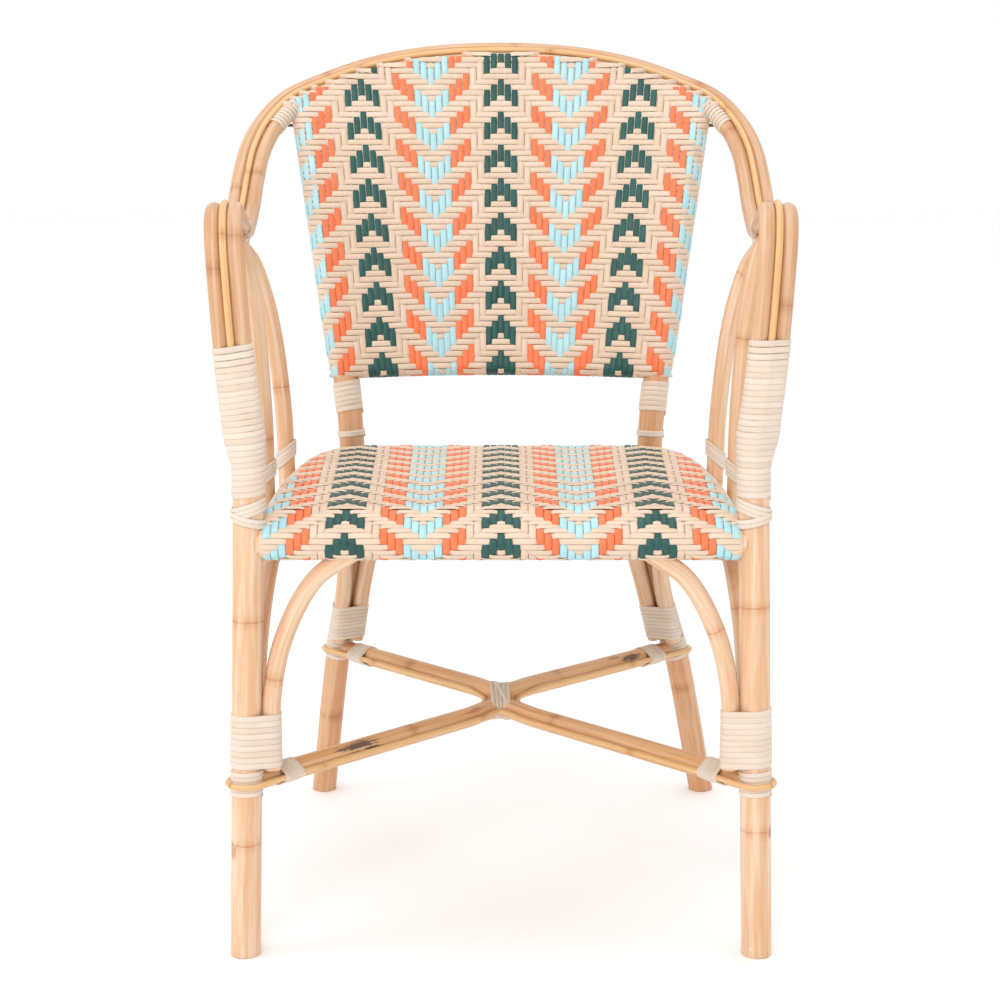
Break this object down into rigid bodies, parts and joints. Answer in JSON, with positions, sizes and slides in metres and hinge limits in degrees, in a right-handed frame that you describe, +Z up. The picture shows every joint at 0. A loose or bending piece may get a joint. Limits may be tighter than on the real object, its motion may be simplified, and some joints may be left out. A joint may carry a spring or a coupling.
{
  "type": "rattan armchair",
  "caption": "Rattan cafe armchair with a bent cane hoop forming the arms and back, woven seat and back panels, peel bound joints and crossed stretchers.",
  "frame": {"origin": "on the floor, under the middle of the chair's outline seen from above", "axes": "+Z up, the front of the seat towards -Y, +X to the right in a view from the front"},
  "size_m": [0.5948, 0.5834, 0.8802],
  "materials": {
    "pole": "peeled rattan pole under a thin clear lacquer, with leaf node rings and a few grey stains",
    "peel": "pale rattan peel, satin, wound in flat strips",
    "weave": "flat plastic strands in cream, light blue, orange and dark green, in a pointed twill",
    "screw": "plain steel screw"
  },
  "bodies": {
    "root": {"hoop_outer_cane": "pole", "hoop_inner_cane": "pole", "hoop_binder_cane": "pole", "front_leg_left": "pole", "front_leg_right": "pole", "rear_leg_left": "pole", "rear_leg_right": "pole", "seat_front_rail_lower": "pole", "seat_front_rail_upper": "pole", "seat_bow": "pole", "arm_loop_left": "pole", "arm_loop_right": "pole", "seat_weave": "weave", "back_lower_rail": "pole", "back_weave": "weave", "stretcher_front": "pole", "stretcher_rear": "pole", "stretcher_screw": "screw", "stretcher_cane_front": "pole", "stretcher_cane_rear": "pole", "stretcher_cane_left": "pole", "stretcher_cane_right": "pole", "front_brace_left": "pole", "front_brace_right": "pole", "front_side_brace_left": "pole", "front_side_brace_right": "pole", "rear_brace_left": "pole", "rear_brace_right": "pole", "rear_side_brace_left": "pole", "rear_side_brace_right": "pole", "arm_post_wrap_left": "peel", "arm_post_wrap_right": "peel", "front_leg_wrap_left": "peel", "front_leg_wrap_right": "peel", "rear_leg_wrap_left": "peel", "rear_leg_wrap_right": "peel", "stile_wrap_left": "peel", "stile_wrap_right": "peel", "stile_knot_left": "peel", "stile_knot_right": "peel", "seat_front_knot_left": "peel", "seat_front_knot_right": "peel", "arm_loop_knot_front_left": "peel", "arm_loop_knot_front_right": "peel", "arm_loop_knot_rear_left": "peel", "arm_loop_knot_rear_right": "peel", "arm_tie_left": "peel", "arm_tie_right": "peel", "hoop_corner_wrap_left": "peel", "hoop_corner_wrap_right": "peel", "stretcher_wrap_front_left": "peel", "stretcher_wrap_front_right": "peel", "stretcher_wrap_rear_left": "peel", "stretcher_wrap_rear_right": "peel", "stretcher_centre_wrap": "peel"}
  },
  "joints": []
}
